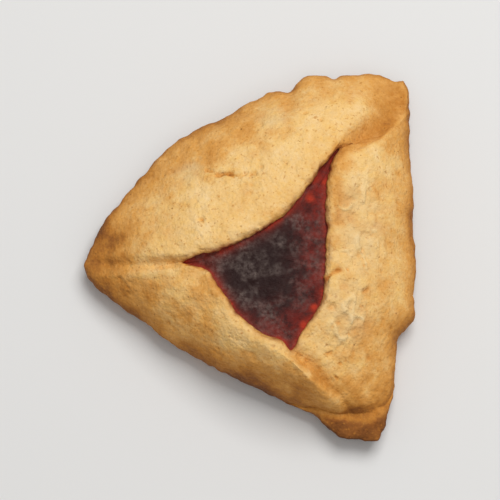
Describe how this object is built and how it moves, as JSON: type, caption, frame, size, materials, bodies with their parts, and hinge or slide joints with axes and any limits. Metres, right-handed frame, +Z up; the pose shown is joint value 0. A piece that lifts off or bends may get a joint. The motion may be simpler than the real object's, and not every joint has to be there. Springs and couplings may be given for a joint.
{
  "type": "hamantasch",
  "caption": "Three-cornered baked biscuit pastry, its sides folded up over a dark raspberry jam centre that shows in a three-pointed opening.",
  "frame": {"origin": "under the middle of the pastry's bounding box, on the surface that it lies on", "axes": "+Z up out of the jam, -Y towards the viewer of the picture, +X towards the straight right side"},
  "size_m": [0.0662, 0.075, 0.02],
  "materials": {
    "baked_dough": null,
    "jam": null
  },
  "bodies": {
    "root": {"pastry": "baked_dough", "raspberry_jam": "jam"}
  },
  "joints": []
}
